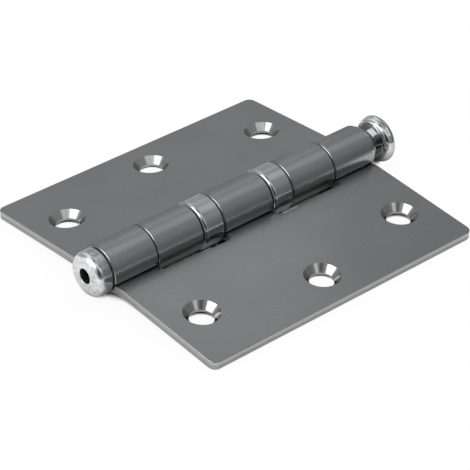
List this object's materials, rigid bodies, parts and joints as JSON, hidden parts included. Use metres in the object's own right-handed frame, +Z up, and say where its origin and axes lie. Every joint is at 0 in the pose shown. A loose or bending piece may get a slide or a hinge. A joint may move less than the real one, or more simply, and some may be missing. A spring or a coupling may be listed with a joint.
{
  "type": "ball bearing butt hinge",
  "caption": "Square steel butt hinge with rolled knuckles, thrust ball bearings between them, a loose pin and countersunk screw holes.",
  "frame": {"origin": "on the surface that the opened hinge lies on, under the middle of its box", "axes": "+Y along the pin towards its head, +X out along the frame leaf, +Z up from the surface"},
  "size_m": [0.0886, 0.104, 0.0136],
  "materials": {
    "leaf_steel": "satin",
    "zinc_plate": "bright",
    "race_steel": "ground",
    "ball_steel": "polished",
    "cage_brass": "plain"
  },
  "bodies": {
    "frame_leaf": {"frame_leaf": "leaf_steel", "tip_plug": "zinc_plate", "near_loose_race": "race_steel", "far_bearing_cup": "zinc_plate", "far_cup_race": "race_steel"},
    "door_leaf": {"door_leaf": "leaf_steel", "near_bearing_cup": "zinc_plate", "near_cup_race": "race_steel", "far_loose_race": "race_steel"},
    "hinge_pin": {"hinge_pin": "zinc_plate"},
    "near_balls": {"near_cage": "cage_brass", "near_ball_1": "ball_steel", "near_ball_2": "ball_steel", "near_ball_3": "ball_steel", "near_ball_4": "ball_steel", "near_ball_5": "ball_steel", "near_ball_6": "ball_steel", "near_ball_7": "ball_steel", "near_ball_8": "ball_steel"},
    "far_balls": {"far_cage": "cage_brass", "far_ball_1": "ball_steel", "far_ball_2": "ball_steel", "far_ball_3": "ball_steel", "far_ball_4": "ball_steel", "far_ball_5": "ball_steel", "far_ball_6": "ball_steel", "far_ball_7": "ball_steel", "far_ball_8": "ball_steel"}
  },
  "joints": [
    {"name": "door_swing", "type": "hinge", "parent": "frame_leaf", "child": "door_leaf", "pos_m": [0, -0.00267, 0.0068], "axis": [0, 1, 0], "range_deg": [-115, 188.2]},
    {"name": "pin_draw", "type": "slide", "parent": "frame_leaf", "child": "hinge_pin", "axis": [0, 1, 0], "range_m": [0, 0.095]},
    {"name": "near_balls_turn", "type": "hinge", "parent": "frame_leaf", "child": "near_balls", "pos_m": [0, -0.00267, 0.0068], "axis": [0, 1, 0], "range_deg": [-58, 95]},
    {"name": "far_balls_turn", "type": "hinge", "parent": "frame_leaf", "child": "far_balls", "pos_m": [0, -0.00267, 0.0068], "axis": [0, 1, 0], "range_deg": [-58, 95]}
  ],
  "couplings": [
    {"joint": "near_balls_turn", "follows": "door_swing", "ratio": 0.5},
    {"joint": "far_balls_turn", "follows": "door_swing", "ratio": 0.5}
  ]
}
